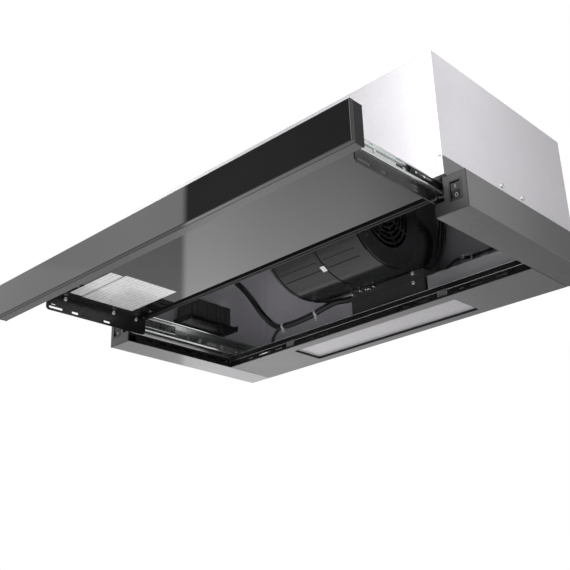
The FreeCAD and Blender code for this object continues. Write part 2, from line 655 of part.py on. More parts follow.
def inlet_grille(x0):
    """Guard disc with rings of slots, split by spokes."""
    thick = 2.4
    disc = along_x(x0, x0 + thick, GRILLE_R)
    rings = []
    for k in range(6):
        r = 8.0 + 7.2 * k
        rings.append(along_x(x0 - 1, x0 + 4, r + 4.6).cut(along_x(x0 - 1, x0 + 4, r)))
    slots = join(rings)
    spokes = []
    for k in range(8):
        spoke = block(x0 - 1, x0 + 4, BLOWER_Y + 6, BLOWER_Y + 50, BLOWER_Z - 1.2, BLOWER_Z + 1.2)
        spokes.append(around_axis(spoke, 22.5 + 45 * k))
    return disc.cut(slots.cut(join(spokes)))


def impeller():
    """Squirrel-cage wheel of the right-hand inlet."""
    x0, x1 = BLOWER_MID + 27, BLOWER_MID + 69
    mouth = INLET_R + 3
    back = along_x(x0, x0 + 2, IMPELLER_R + 1)
    hub = along_x(x0, x0 + 14, 10)
    ring = along_x(x1 - 2, x1, IMPELLER_R + 1).cut(along_x(x1 - 3, x1 + 1, mouth))
    blades = []
    for k in range(28):
        blade = block(x0 + 1, x1 - 1, BLOWER_Y + mouth + 0.5, BLOWER_Y + IMPELLER_R,
                      BLOWER_Z - 0.6, BLOWER_Z + 0.6)
        blade.rotate(Vector(x0, BLOWER_Y + mouth + 0.5, BLOWER_Z), X_AXIS, 25)
        blades.append(around_axis(blade, k * 360 / 28))
    return join([back, hub, ring] + blades).cut(along_x(x0 - 1, x1, SHAFT_R + 0.03))


def left_impeller():
    return impeller().mirror(Vector(BLOWER_MID, 0, 0), X_AXIS)


def motor():
    x0, x1 = BLOWER_MID - 19, BLOWER_MID + 19
    body = round_edges(along_x(x0, x1, MOTOR_R), 2, lambda p: near(p.x, x0) or near(p.x, x1))
    bells = [along_x(x0 - 6, x0 + 1, 21), along_x(x1 - 1, x1 + 6, 21)]
    bore = along_x(x0 - 8, x1 + 8, SHAFT_R + RUNNING_GAP)
    return join([body] + bells).cut(bore)


def motor_bracket():
    """Ring that clamps the motor, on arms that reach the round part of the casing wall."""
    x0, x1 = BLOWER_MID - 7, BLOWER_MID + 7
    reach = CASING_R - CASING_WALL
    hoop = along_x(x0, x1, MOTOR_R + 3).cut(along_x(x0 - 1, x1 + 1, MOTOR_R + 0.05))
    pieces = [hoop]
    for angle in ARM_ANGLES:
        arm = block(x0, x1, BLOWER_Y + MOTOR_R + 2, BLOWER_Y + reach, BLOWER_Z - 3, BLOWER_Z + 3)
        foot = block(x0 - 6, x1 + 6, BLOWER_Y + reach - 2.5, BLOWER_Y + reach,
                     BLOWER_Z - 8, BLOWER_Z + 8)
        pieces += [around_axis(arm, angle), around_axis(foot, angle)]
    return join(pieces).common(along_x(x0 - 10, x1 + 10, reach - GAP))


# --- electrical boxes and cables ----------------------------------------------------------
def control_box():
    c = CONTROL
    body = block(BOX_X0, BOX_X1, c["y0"], c["y1"], c["z0"], c["z1"])
    body = round_edges(body, 1.5, lambda p: near(p.y, c["y0"]) or near(p.z, c["z1"]))
    groove = block(BOX_X0 - 1, BOX_X1 + 1, c["y0"] - 1, c["y1"] + 1, 40.0, 40.5)
    core = block(BOX_X0 + 0.8, BOX_X1 - 0.8, c["y0"] + 0.8, c["y1"] - 0.8, 39, 42)
    holes = [rod(Y_AXIS, (BOX_SCREW_X, c["y0"] - 1, z), 1.6, 8) for z in BOX_SCREW_ZS]
    return body.cut(groove.cut(core)).cut(holes)


JUNCTION = {"x0": -273.5, "x1": -238.0, "y0": 102.0, "y1": 176.0, "z0": 50.2, "z1": 86.0}


def junction_box():
    j = JUNCTION
    body = block(j["x0"], j["x1"], j["y0"], j["y1"], j["z0"], j["z1"])
    body = round_edges(body, 1.5, lambda p: near(p.x, j["x1"]))
    ribs = [block(j["x1"] - 1, j["x1"] + 1.2, y, y + 2.4, j["z0"] + 4, j["z1"] - 4)
            for y in range(110, 172, 9)]
    lid = block(j["x0"] + 2, j["x1"] - 4, j["y0"] - 1.5, j["y0"] + 1, j["z0"] + 4, j["z1"] - 4)
    return join([body, lid] + ribs)


def junction_bracket():
    x0, x1 = -SIDE_INNER + GAP, -233.0
    shelf = block(x0, x1, 94, 186, 49.3, 50.1)
    lip = block(x1 - SHEET, x1, 94, 186, 49.3, 55)
    ends = [block(x0, x1, y, y + SHEET, 49.3, 58) for y in (94, 186 - SHEET)]
    window = block(-262, -245, 120, 160, 48, 52)
    return join([shelf, lip] + ends).cut(window)


HARNESS_R = 4.4
HARNESS = [(-256, 112, 86.05), (-256, 112, 114), (-244, 132, 135), (-222, 158, 130),
           (-204, 173, 106), (-186, 174, 82), (-178, 184, 61), (-169, 195.6, 46),
           (-157, 197, 38.6), (-133, 197, 36.6), (-97, 197, 38), (-64, 197.3, 44.5),
           (-46, 199.5, 47.7), (-34, 206.5, 47.7), (-19.05, 206.5, 47.6)]
LAMP_LEAD_R = 2.3
LAMP_LEAD = [(-150, 197, 38), (-162, 198.3, 34.5), (-173, 199.8, 25), (-173, 199.8, 12.55)]
SWITCH_LEAD_R = 2.0
SWITCH_LEAD = [(95, 266, 52.05), (95, 266, 70), (109, 275.2, 86), (131, 275.4, 81),
               (171, 275.6, 83), (222, 274.6, 80), (260, 263, 74), (270.5, 232, 68),
               (271.6, 180, 64), (271.2, 130, 63), (271.5, 85, 61), (271.5, 42.05, 61)]
GROMMET = {"y0": 30.0, "y1": 42.0, "z0": 55.5, "z1": 66.5}


def wire_harness():
    """Bundle from box to box, with the lamp's lead branching off it."""
    return join([cable(HARNESS, HARNESS_R), cable(LAMP_LEAD, LAMP_LEAD_R)])


def tie(start, end, at, inner):
    """Cable tie around the run from start to end, with its head underneath."""
    a, b = Vector(*start), Vector(*end)
    axis = b - a
    axis.normalize()
    point = a + (b - a) * at
    band = tube_ring(axis, tuple(point - axis * 1.6), inner + 0.9, inner + 0.03, 3.2)
    head_at = point - Z_AXIS * (inner + 2.2)
    head = Part.makeBox(4.4, 4.4, 4.4, head_at - Vector(2.2, 2.2, 2.2))
    inside = Part.makeCylinder(inner + 0.03, 12, point - axis * 6, axis)
    return join([band, head]).cut(inside)


def wall_clip(x, z):
    """Adhesive clip on the back wall, around the switch lead."""
    base = block(x - 5, x + 5, 278.1, 279.1, z - 5, z + 5)
    post = block(x - 1.5, x + 1.5, 277.9, 278.2, z - 3, z + 3)
    return join([base, post])


def cable_ties():
    ties = [tie(HARNESS[k], HARNESS[k + 1], 0.42, HARNESS_R) for k in (8, 10)]
    clips = [wall_clip(120, 84.5), wall_clip(150, 82)]
    g = GROMMET
    grommet = block(266.5, SIDE_INNER - 0.02, g["y0"], g["y1"], g["z0"], g["z1"])
    grommet = round_edges(grommet, 2, lambda p: near(p.x, 266.5))
    return Part.makeCompound(ties + clips + [grommet])


def cable_gland():
    z = BODY_HEIGHT
    at = (GLAND_X, GLAND_Y)
    thread = tube_ring(Z_AXIS, at + (z - 8,), 8.0, 4.0, 8.05)
    nut = Part.makePolygon([Vector(GLAND_X + 11 * math.cos(math.radians(60 * k)),
                                   GLAND_Y + 11 * math.sin(math.radians(60 * k)), z + 0.02)
                            for k in range(7)])
    body = Part.Face(nut).extrude(Z_AXIS * 7)
    dome = Part.makeCone(9.5, 6.5, 7, Vector(GLAND_X, GLAND_Y, z + 7), Z_AXIS)
    bore = rod(Z_AXIS, at + (z - 9,), 4.0, 30)
    lock = tube_ring(Z_AXIS, at + (z - SHEET - 4.02,), 11.0, 8.0, 4.0)
    return join([thread, body, dome, lock]).cut(bore)


# --- outlet -------------------------------------------------------------------------------
FLAP_Z = BODY_HEIGHT + 16.0
FLAP_R = 55.5
PIN_R = 1.5
BARREL_R = 3.0
COLLAR_WALL = 2.0


def outlet_collar():
    z = BODY_HEIGHT
    at = (0, OUTLET_Y, z)
    wall = rod(Z_AXIS, at, DUCT_RADIUS, COLLAR_HEIGHT)
    flange = rod(Z_AXIS, at, DUCT_RADIUS + 15, 1.8)
    bore = rod(Z_AXIS, (0, OUTLET_Y, z - 1), DUCT_RADIUS - COLLAR_WALL, COLLAR_HEIGHT + 2)
    collar = join([wall, flange]).cut(bore)
    stops = []
    for sx in (-1, 1):
        for sy in (-1, 1):
            x, y = sx * 34.0, OUTLET_Y + sy * 43.0
            stops.append(block(x - 3, x + 3, y - 9 if sy < 0 else y, y if sy < 0 else y + 9,
                               FLAP_Z - 5, FLAP_Z - 0.55))
    inside_wall = rod(Z_AXIS, at, DUCT_RADIUS - 0.5, COLLAR_HEIGHT)
    lugs = [s.common(inside_wall) for s in stops]
    holes = [rod(Z_AXIS, (x, y, z - 1), 1.6, 4) for x, y in collar_screw_points()]
    holes.append(rod(X_AXIS, (-DUCT_RADIUS + 0.6, OUTLET_Y, FLAP_Z), PIN_R + 0.02,
                     2 * DUCT_RADIUS - 1.2))
    return join([collar] + lugs).cut(holes)


def damper_flap(sign, barrels):
    """Half-disc flap that swings up about the pin; sign is the side it covers."""
    disc = rod(Z_AXIS, (0, OUTLET_Y, FLAP_Z - 0.5), FLAP_R, 1.0)
    y0 = OUTLET_Y + 0.8 if sign > 0 else OUTLET_Y - 70
    half = disc.common(block(-80, 80, y0, y0 + 69.2, FLAP_Z - 2, FLAP_Z + 2))
    pieces = [half]
    gaps = []
    for x0 in (-50, -30, -10, 10, 30):
        if x0 in barrels:
            pieces.append(rod(X_AXIS, (x0 + 0.4, OUTLET_Y, FLAP_Z), BARREL_R, 19.2))
        else:
            gaps.append(rod(X_AXIS, (x0 - 0.4, OUTLET_Y, FLAP_Z), BARREL_R + 0.5, 20.8))
    gaps.append(rod(X_AXIS, (-70, OUTLET_Y, FLAP_Z), PIN_R + RUNNING_GAP, 140))
    gaps += [block(x, x + 20, OUTLET_Y - 4, OUTLET_Y + 4, FLAP_Z - 2, FLAP_Z + 2)
             for x in (-70, 50)]
    return join(pieces).cut(gaps)


def damper_pin():
    reach = DUCT_RADIUS - COLLAR_WALL + 1.2
    return rod(X_AXIS, (-reach, OUTLET_Y, FLAP_Z), PIN_R, 2 * reach)


# --- fasteners ----------------------------------------------------------------------------
def rivet(y, z):
    """Flat rivet through the side panel, head outside."""
    head = rod(X_AXIS, (HALF_BOX + 0.01, y, z), 2.8, 0.9)
    shank = rod(X_AXIS, (SIDE_INNER - 1.5, y, z), RIVET_R - 0.05, 3.2)
    return join([head, shank])


def fasteners():
    right = [rivet(y, RIVET_Z) for y in RIVET_YS]
    head_x = SIDE_INNER - GAP - STEEL
    for y in SLIDE_SCREW_YS:
        right.append(screw(X_AXIS, (head_x - 1.4, y, SLIDE_Z), 3.2, 1.39, 1.5, 3.2))
    c = CONTROL
    front = [screw(Y_AXIS, (BOX_SCREW_X, c["y0"] - 1.5, z), 2.8, 1.49, 1.5, 6)
             for z in BOX_SCREW_ZS]
    top = []
    down = Vector(0, 0, -1)
    for x, y in collar_screw_points():
        top.append(screw(down, (x, y, BODY_HEIGHT + 3.4), 3.2, 1.59, 1.5, 4))
    return Part.makeCompound(right + [mirror(s) for s in right] + front + top)


# --- assembly -----------------------------------------------------------------------------
def build():
    add_sided("side_panel", sided(side_panel))
    add("front_panel", front_panel())
    add("back_panel", back_panel())
    add("top_panel", top_panel())
    add_sided("arm_cover", sided(arm_cover))
    add_sided("arm_cap", sided(arm_cap))
    add_sided("arm_liner", sided(arm_liner))
    add_sided("switch_body", sided(switch_body))
    add_sided("rocker", sided(rocker))
    add("rear_cover", rear_cover())
    add("rear_channel", rear_channel())
    add("filter_catches", filter_catches())
    add("light_diffuser", light_diffuser())
    add("led_board", led_board())
    add("light_housing", light_housing())
    add_sided("slide_outer", sided(slide_outer))
    add_sided("slide_inner", sided(slide_inner))
    add_sided("ball_cage", sided(ball_cage))
    add("visor_front_panel", visor_front_panel())
    add("visor_frame", visor_frame())
    add_sided("visor_end_cap", sided(visor_end_cap))
    add("visor_panel", visor_panel())
    add("visor_rear_rail", visor_rear_rail())
    add("visor_bracket_right", bracket((18.6, 23.0)))
    add("visor_bracket_left", mirror(bracket((19.4,))))
    blocks = sided(corner_block)
    add("visor_corner_blocks", Part.makeCompound([blocks["left"], blocks["right"]]))
    add("visor_screws", visor_screws())
    add("blank_labels", blank_labels())
    halves = casing_halves()
    add("casing_left", halves["left"])
    add("casing_right", halves["right"])
    add("casing_clips", casing_clips())
    add("inlet_grille_right", inlet_grille(CASING_RIGHT + GAP))
    add("inlet_grille_left", inlet_grille(CASING_LEFT - GAP - 2.4))
    add("impeller_right", impeller())
    add("impeller_left", left_impeller())
    add("motor_shaft", along_x(BLOWER_MID - 65, BLOWER_MID + 65, SHAFT_R))
    add("motor", motor())
    add("motor_bracket", motor_bracket())
    add("control_box", control_box())
    add("junction_box", junction_box())
    add("junction_bracket", junction_bracket())
    add("wire_harness", wire_harness())
    add("switch_lead", cable(SWITCH_LEAD, SWITCH_LEAD_R))
    add("cable_ties", cable_ties())
    add("cable_gland", cable_gland())
    add("outlet_collar", outlet_collar())
    add("damper_flap_front", damper_flap(-1, (-30, 10)))
    add("damper_flap_rear", damper_flap(1, (-50, -10, 30)))
    add("damper_pin", damper_pin())
    add("fasteners", fasteners())


def write_node(name, shape):
    moved = shape.copy()
    moved.translate(ROW_ORIGIN * -1)
    moved.exportStep("parts/" + name + ".step")
    state = "" if moved.isValid() else "INVALID"
    print(name, len(moved.Solids), "solids", round(moved.Volume / 1000, 2), "cm3", state)


def main():
    os.makedirs("parts", exist_ok=True)
    build()
    for name in sorted(NODES):
        write_node(name, NODES[name])
    print(len(NODES), "nodes")


main()
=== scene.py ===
"""Looks of the telescopic range hood: materials, fine trim, studio and camera.

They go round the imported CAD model, which stays as it is.

Positions are in metres in the row frame. tray(x, y, z) takes millimetres from the middle of the
tray's front edge on the underside, the hood's own layout, and turns them into the row frame.
"""
import json
import math

import bmesh
import bpy
from mathutils import Matrix, Vector


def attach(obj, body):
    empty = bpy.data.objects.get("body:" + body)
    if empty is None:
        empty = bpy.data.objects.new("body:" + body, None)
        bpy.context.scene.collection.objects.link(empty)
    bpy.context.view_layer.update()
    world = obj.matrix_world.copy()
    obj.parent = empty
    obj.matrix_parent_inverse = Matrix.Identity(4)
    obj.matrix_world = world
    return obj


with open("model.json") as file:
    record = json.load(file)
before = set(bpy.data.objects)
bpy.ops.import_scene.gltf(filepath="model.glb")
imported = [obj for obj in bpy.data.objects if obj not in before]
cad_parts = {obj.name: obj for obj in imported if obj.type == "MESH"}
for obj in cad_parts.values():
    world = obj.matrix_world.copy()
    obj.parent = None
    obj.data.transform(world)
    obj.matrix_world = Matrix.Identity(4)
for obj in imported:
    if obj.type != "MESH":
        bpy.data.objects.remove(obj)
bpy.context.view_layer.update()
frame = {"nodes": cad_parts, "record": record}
RECORD = frame["record"]
NODES = frame["nodes"]
ROW_ORIGIN = Vector((0.0, 140.0, 198.0))
MM = 0.001
NOISE_ROUGHNESS = 0.55


def tray(x, y, z):
    """Row-frame position of a point in the hood's own layout, in millimetres."""
    return (Vector((x, y, z)) - ROW_ORIGIN) * MM


# --- shader helpers -----------------------------------------------------------------------
class NodeTree:
    """A node tree, with short calls for the nodes that repeat in it."""

    def __init__(self, tree):
        self.tree = tree

    def new(self, kind, **settings):
        node = self.tree.nodes.new(kind)
        for key, value in settings.items():
            setattr(node, key, value)
        return node

    def link(self, source, target):
        self.tree.links.new(source, target)

    def span(self, value, low, high, to_low=0.0, to_high=1.0):
        """Maps low..high to to_low..to_high, smoothly."""
        node = self.new("ShaderNodeMapRange", interpolation_type="SMOOTHSTEP")
        for key, number in zip(("From Min", "From Max", "To Min", "To Max"),
                               (low, high, to_low, to_high)):
            node.inputs[key].default_value = number
        self.link(value, node.inputs["Value"])
        return node.outputs["Result"]

    def math(self, kind, a, b=0.0):
        node = self.new("ShaderNodeMath", operation=kind)
        for value, socket in zip((a, b), node.inputs):
            if isinstance(value, float):
                socket.default_value = value
            else:
                self.link(value, socket)
        return node.outputs["Value"]


class Shader(NodeTree):
    """One material: the patterns and sockets of its Principled BSDF."""

    def __init__(self, name):
        self.material = bpy.data.materials.new(name)
        self.material.use_nodes = True
        super().__init__(self.material.node_tree)
        self.bsdf = self.tree.nodes["Principled BSDF"]
        self.position = self.new("ShaderNodeTexCoord").outputs["Object"]

    def put(self, **sockets):
        """Sets numbers on the Principled BSDF itself."""
        names = {"metallic": "Metallic", "ior": "IOR", "specular": "Specular IOR Level",
                 "coat": "Coat Weight", "coat_rough": "Coat Roughness"}
        for key, value in sockets.items():
            self.bsdf.inputs[names[key]].default_value = value

    def scaled(self, x, y, z):
        """The position stretched along each axis, for streaks and brushing."""
        mapping = self.new("ShaderNodeMapping")
        mapping.inputs["Scale"].default_value = (x, y, z)
        self.link(self.position, mapping.inputs["Vector"])
        return mapping.outputs["Vector"]

    def noise(self, scale, detail, stretch=None):
        node = self.new("ShaderNodeTexNoise")
        node.inputs["Scale"].default_value = scale
        node.inputs["Detail"].default_value = detail
        node.inputs["Roughness"].default_value = NOISE_ROUGHNESS
        self.link(self.scaled(*stretch) if stretch else self.position, node.inputs["Vector"])
        return node.outputs["Fac"]

    def cells(self, scale):
        node = self.new("ShaderNodeTexVoronoi")
        node.inputs["Scale"].default_value = scale
        self.link(self.position, node.inputs["Vector"])
        return node.outputs["Color"]

    def colours(self, value, stops):
        """Colour ramp over value; stops are (place, linear colour)."""
        ramp = self.new("ShaderNodeValToRGB")
        while len(ramp.color_ramp.elements) < len(stops):
            ramp.color_ramp.elements.new(0.5)
        for element, (place, colour) in zip(ramp.color_ramp.elements, stops):
            element.position = place
            element.color = tuple(colour) + (1.0,)
        self.link(value, ramp.inputs["Fac"])
        return ramp.outputs["Color"]

    def base(self, colour):
        self.link(colour, self.bsdf.inputs["Base Color"])

    def rough(self, value):
        self.link(value, self.bsdf.inputs["Roughness"])

    def bump(self, height, distance, strength):
        """Adds relief; distance is its depth in metres."""
        node = self.new("ShaderNodeBump")
        node.inputs["Distance"].default_value = distance
        node.inputs["Strength"].default_value = strength
        self.link(height, node.inputs["Height"])
        self.link(node.outputs["Normal"], self.bsdf.inputs["Normal"])


def grey(level, tint=(0.0, 0.0, 0.0)):
    """Linear grey, shifted by a share of itself in each channel."""
    return tuple(level * (1.0 + t) for t in tint)


# --- materials ----------------------------------------------------------------------------
def galvanised():
    """Zinc-coated sheet: faint soft crystals, a fine rolled grain and a little handling haze."""
    s = Shader("galvanised")
    cold = (0.0, -0.01, 0.02)
    cloud = s.noise(5.0, 5.0)
    rolled = s.noise(30.0, 3.0, stretch=(1.0, 1.0, 26.0))
    spangle = s.math("MULTIPLY", s.cells(240.0), 0.14)
    haze = s.math("ADD", s.math("MULTIPLY", cloud, 0.6), s.math("MULTIPLY", rolled, 0.26))
    s.base(s.colours(s.math("ADD", spangle, haze),
                     ((0.2, grey(0.77, cold)), (0.5, grey(0.84, cold)), (0.85, grey(0.91, cold)))))
    s.rough(s.span(cloud, 0.3, 0.7, 0.23, 0.18))
    s.bump(rolled, 0.00003, 0.2)
    s.put(metallic=0.6)
    return s.material


def satin_paint(name, dark, light, roughness, coat):
    """Baked dark grey coat with orange peel, light clouding and a little dust."""
    s = Shader(name)
    warm = (0.01, -0.01, 0.01)
    cloud = s.noise(7.0, 5.0)
    peel = s.noise(420.0, 2.0)
    dust = s.noise(2600.0, 1.0)
    s.base(s.colours(cloud, ((0.3, grey(dark, warm)), (0.75, grey(light, warm)))))
    s.rough(s.span(s.math("ADD", cloud, s.math("MULTIPLY", dust, 0.25)), 0.3, 0.95,
                   roughness - 0.04, roughness + 0.06))
    s.bump(peel, 0.00002, 0.15)
    s.put(ior=1.5, coat=coat, coat_rough=0.06)
    return s.material


def moulded(name, dark, light, roughness, texture=0.00004, scale=1500.0, specular=0.5):
    """Injection-moulded plastic with a fine spark-eroded texture."""
    s = Shader(name)
    cloud = s.noise(16.0, 4.0)
    pits = s.noise(scale, 3.0)
    s.base(s.colours(cloud, ((0.3, dark), (0.75, light))))
    s.rough(s.span(pits, 0.25, 0.8, roughness - 0.06, roughness + 0.08))
    s.bump(pits, texture, 0.6)
    s.put(specular=specular)
    return s.material


def black_steel():
    """Semi-gloss powder coat over folded sheet."""
    s = Shader("black_steel")
    peel = s.noise(900.0, 3.0)
    cloud = s.noise(22.0, 4.0)
    s.base(s.colours(cloud, ((0.3, grey(0.006)), (0.8, grey(0.013)))))
    s.rough(s.span(cloud, 0.3, 0.75, 0.24, 0.38))
    s.bump(peel, 0.00005, 0.5)
    return s.material


def zinc(name, brightness, brushed=(60.0, 1.5, 60.0)):
    """Bright zinc plate with rolling marks along Y and a faint greenish passivation."""
    s = Shader(name)
    marks = s.noise(14.0, 3.0, stretch=brushed)
    stain = s.noise(30.0, 3.0)
    s.base(s.colours(stain, ((0.3, grey(brightness * 0.88, (-0.03, 0.02, -0.01))),
                             (0.7, grey(brightness, (-0.02, 0.01, 0.0))))))
    s.rough(s.span(marks, 0.3, 0.75, 0.17, 0.28))
    s.bump(marks, 0.00001, 0.25)
    s.put(metallic=0.92)
    return s.material


def tinted_glass():
    """Black-backed glass: a warm black under a mirror-smooth face, with faint wipe marks."""
    s = Shader("visor_glass")
    warm = (0.03, -0.03, 0.02)
    wipe = s.noise(5.0, 5.0, stretch=(1.0, 3.0, 3.0))
    specks = s.noise(900.0, 2.0)
    s.base(s.colours(wipe, ((0.3, grey(0.008, warm)), (0.8, grey(0.012, warm)))))
    s.rough(s.span(s.math("ADD", wipe, s.math("MULTIPLY", specks, 0.2)), 0.5, 1.0, 0.0, 0.025))
    s.put(ior=1.6)
    return s.material


def opal():
    """Milky ribbed diffuser of the lamp, unlit."""
    s = Shader("diffuser")
    cloud = s.noise(4.0, 3.0)
    ribs = s.new("ShaderNodeTexWave", wave_type="BANDS", bands_direction="X")
    ribs.inputs["Scale"].default_value = 95.0
    s.link(s.position, ribs.inputs["Vector"])
    s.base(s.colours(cloud, ((0.3, (0.405, 0.40, 0.41)), (0.75, (0.47, 0.465, 0.475)))))
    s.rough(s.span(s.noise(900.0, 2.0), 0.3, 0.8, 0.2, 0.32))
    s.bump(ribs.outputs["Fac"], 0.00012, 0.4)
    s.put(ior=1.49)
    return s.material


def label_foil():
    """Silver polyester label with blank ruled boxes printed on it."""
    s = Shader("label_foil")
    grain = s.noise(90.0, 3.0, stretch=(1.0, 60.0, 1.0))
    rules = s.new("ShaderNodeTexBrick", offset=0.5, squash=1.0)
    for key, number in (("Scale", 1.0), ("Mortar Size", 0.0006), ("Mortar Smooth", 0.3),
                        ("Brick Width", 0.036), ("Row Height", 0.0064), ("Bias", 0.0)):
        rules.inputs[key].default_value = number
    s.link(s.position, rules.inputs["Vector"])
    paper = s.colours(grain, ((0.3, grey(0.92)), (0.75, grey(0.97))))
    ink = s.new("ShaderNodeMix", data_type="RGBA")
    colour_a, colour_b, colour_out = 6, 7, 2
    s.link(rules.outputs["Fac"], ink.inputs["Factor"])
    s.link(paper, ink.inputs[colour_a])
    ink.inputs[colour_b].default_value = grey(0.62) + (1.0,)
    s.base(ink.outputs[colour_out])
    s.rough(s.span(grain, 0.3, 0.8, 0.2, 0.34))
    s.put(metallic=0.1, coat=1.0, coat_rough=0.12)
    return s.material


def motor_steel():
    """Turned steel shell of the motor."""
    s = Shader("motor_steel")
    marks = s.noise(50.0, 4.0, stretch=(1.0, 30.0, 30.0))
    s.base(s.colours(marks, ((0.3, grey(0.3)), (0.75, grey(0.42)))))
    s.rough(s.span(marks, 0.3, 0.75, 0.3, 0.45))
    s.bump(marks, 0.00004, 0.4)
    s.put(metallic=1.0)
    return s.material


def led_mask():
    """Cream solder mask of the LED board."""
    s = Shader("led_pcb")
    cloud = s.noise(60.0, 3.0)
    s.base(s.colours(cloud, ((0.3, (0.7, 0.7, 0.66)), (0.8, (0.8, 0.8, 0.76)))))
    s.rough(s.span(cloud, 0.3, 0.8, 0.3, 0.42))
    return s.material


MATERIALS = {
    "galvanised": galvanised(),
    "canopy_paint": satin_paint("canopy_paint", 0.074, 0.086, 0.3, 0.8),
    "strip_paint": satin_paint("strip_paint", 0.113, 0.124, 0.34, 0.1),
    "cap_plastic": moulded("cap_plastic", grey(0.026), grey(0.032), 0.38),
    "end_cap_plastic": moulded("end_cap_plastic", grey(0.012), grey(0.016), 0.42, specular=0.3),
    "black_steel": black_steel(),
    "switch_plastic": moulded("switch_plastic", grey(0.004), grey(0.007), 0.3, 0.00002),
    "rocker_plastic": moulded("rocker_plastic", grey(0.014), grey(0.019), 0.42, 0.00002,
                              specular=0.35),
    "zinc_steel": zinc("zinc_steel", 0.70),
    "screw_zinc": zinc("screw_zinc", 0.86, (20.0, 20.0, 20.0)),
    "diffuser": opal(),
    "led_pcb": led_mask(),
    "visor_glass": tinted_glass(),
    "visor_paint": satin_paint("visor_paint", 0.036, 0.044, 0.26, 0.3),
    "corner_plastic": moulded("corner_plastic", grey(0.008), grey(0.012), 0.42, specular=0.18),
    "label_foil": label_foil(),
    "casing_plastic": moulded("casing_plastic", grey(0.010, (-0.05, 0.03, 0.03)),
                              grey(0.014, (-0.05, 0.03, 0.03)), 0.22, 0.00003, 700.0),
    "grille_plastic": moulded("grille_plastic", grey(0.009, (-0.04, 0.02, 0.02)),
                              grey(0.013, (-0.04, 0.02, 0.02)), 0.3, 0.00003, 900.0),
    "box_plastic": moulded("box_plastic", grey(0.047), grey(0.06), 0.34, 0.00003, 800.0),
    "motor_steel": motor_steel(),
    "cable_jacket": moulded("cable_jacket", grey(0.006), grey(0.010), 0.3, 0.00003, 1200.0),
    "tie_nylon": moulded("tie_nylon", grey(0.55), grey(0.62), 0.35, 0.00002),
}


def paint_cad_nodes():
    """Gives each CAD node the material of its slot."""
    for part in RECORD["subparts"]:
        mesh = NODES[part["node"]].data
        mesh.materials.clear()
        mesh.materials.append(MATERIALS[part["material_slot"]])


# --- trim pieces --------------------------------------------------------------------------
# Everything here is drawn in tray millimetres; vertex() turns it into the row frame.
def vertex(bm, point):
    """Adds a vertex at a point of the tray's layout."""
    return bm.verts.new(tray(*point))


def piece(name, bm, slot, body, smooth=True):
    """Turns the mesh under construction into a piece that rides on a body."""
    bmesh.ops.recalc_face_normals(bm, faces=bm.faces)
    mesh = bpy.data.meshes.new(name)
    bm.to_mesh(mesh)
    bm.free()
    for face in mesh.polygons:
        face.use_smooth = smooth
    mesh.materials.append(MATERIALS[slot])
    thing = bpy.data.objects.new(name, mesh)
    bpy.context.scene.collection.objects.link(thing)
    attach(thing, body)


def skin(bm, rows, closed_path=False):
    """Joins rings of vertices, one after the other, and caps the ends of an open run."""
    pairs = list(zip(rows, rows[1:]))
    if closed_path:
        pairs.append((rows[-1], rows[0]))
    for first, second in pairs:
        count = len(first)
        for k in range(count):
            bm.faces.new((first[k], first[(k + 1) % count], second[(k + 1) % count], second[k]))
    if not closed_path:
        bm.faces.new(rows[0])
        bm.faces.new(rows[-1])


def add_tube(bm, path, radii, closed=False, sides=10):
    """Round bar along a path, with its own radius at each point."""
    rows = []
    count = len(path)
    for k, point in enumerate(path):
        before = path[k - 1] if closed or k else point
        after = path[(k + 1) % count] if closed or k < count - 1 else point
        along = (after - before).normalized()
        across = along.cross(Vector((0.0, 0.0, 1.0)))
        if across.length < 0.01:
            across = along.cross(Vector((0.0, 1.0, 0.0)))
        across.normalize()
        up = across.cross(along)
        row = []
        for j in range(sides):
            a = 2 * math.pi * j / sides
            row.append(vertex(bm, point + (across * math.cos(a) + up * math.sin(a)) * radii[k]))
        rows.append(row)
    skin(bm, rows, closed)


BEAD_END_TURNS = (4, 25, 50, 75)


def add_bead(bm, start, end, radius):
    """Straight bead with rounded ends, half sunk in the sheet that it stiffens."""
    start, end = Vector(start), Vector(end)
    along = (end - start).normalized()
    path, radii = [], []
    for turn in BEAD_END_TURNS:
        a = math.radians(turn)
        path.append(start - along * radius * math.cos(a))
        radii.append(radius * math.sin(a))
    path += [start, end]
    radii += [radius, radius]
    for turn in reversed(BEAD_END_TURNS):
        a = math.radians(turn)
        path.append(end + along * radius * math.cos(a))
        radii.append(radius * math.sin(a))
    add_tube(bm, path, radii)


def smooth_path(knots, steps):
    """Points on a smooth curve through the knots."""
    path = []
    for k in range(len(knots) - 1):
        before, start = knots[max(k - 1, 0)], knots[k]
        end, after = knots[k + 1], knots[min(k + 2, len(knots) - 1)]
        for j in range(steps):
            t = j / steps
            path.append(0.5 * (2 * start + (end - before) * t
                               + (2 * before - 5 * start + 4 * end - after) * t * t
                               + (3 * start - 3 * end + after - before) * t * t * t))
    return path + [knots[-1]]


def circle(centre, axis, radius, count=32):
    """Points round a circle."""
    across = axis.orthogonal().normalized()
    other = axis.cross(across).normalized()
    points = []
    for k in range(count):
        a = 2 * math.pi * k / count
        points.append(centre + (across * math.cos(a) + other * math.sin(a)) * radius)
    return points


def add_strap(bm, path, width_way, width, thick, taper=0.35):
    """Flat strap along a path, tapering towards its tip."""
    rows = []
    for k, point in enumerate(path):
        before, after = path[max(k - 1, 0)], path[min(k + 1, len(path) - 1)]
        along = (after - before).normalized()
        across = (width_way - along * width_way.dot(along)).normalized()
        up = along.cross(across)
        half = width / 2 * (1.0 - taper * k / (len(path) - 1))
        corners = ((1, 1), (1, -1), (-1, -1), (-1, 1))
        rows.append([vertex(bm, point + across * half * a + up * thick / 2 * b)
                     for a, b in corners])
    skin(bm, rows)


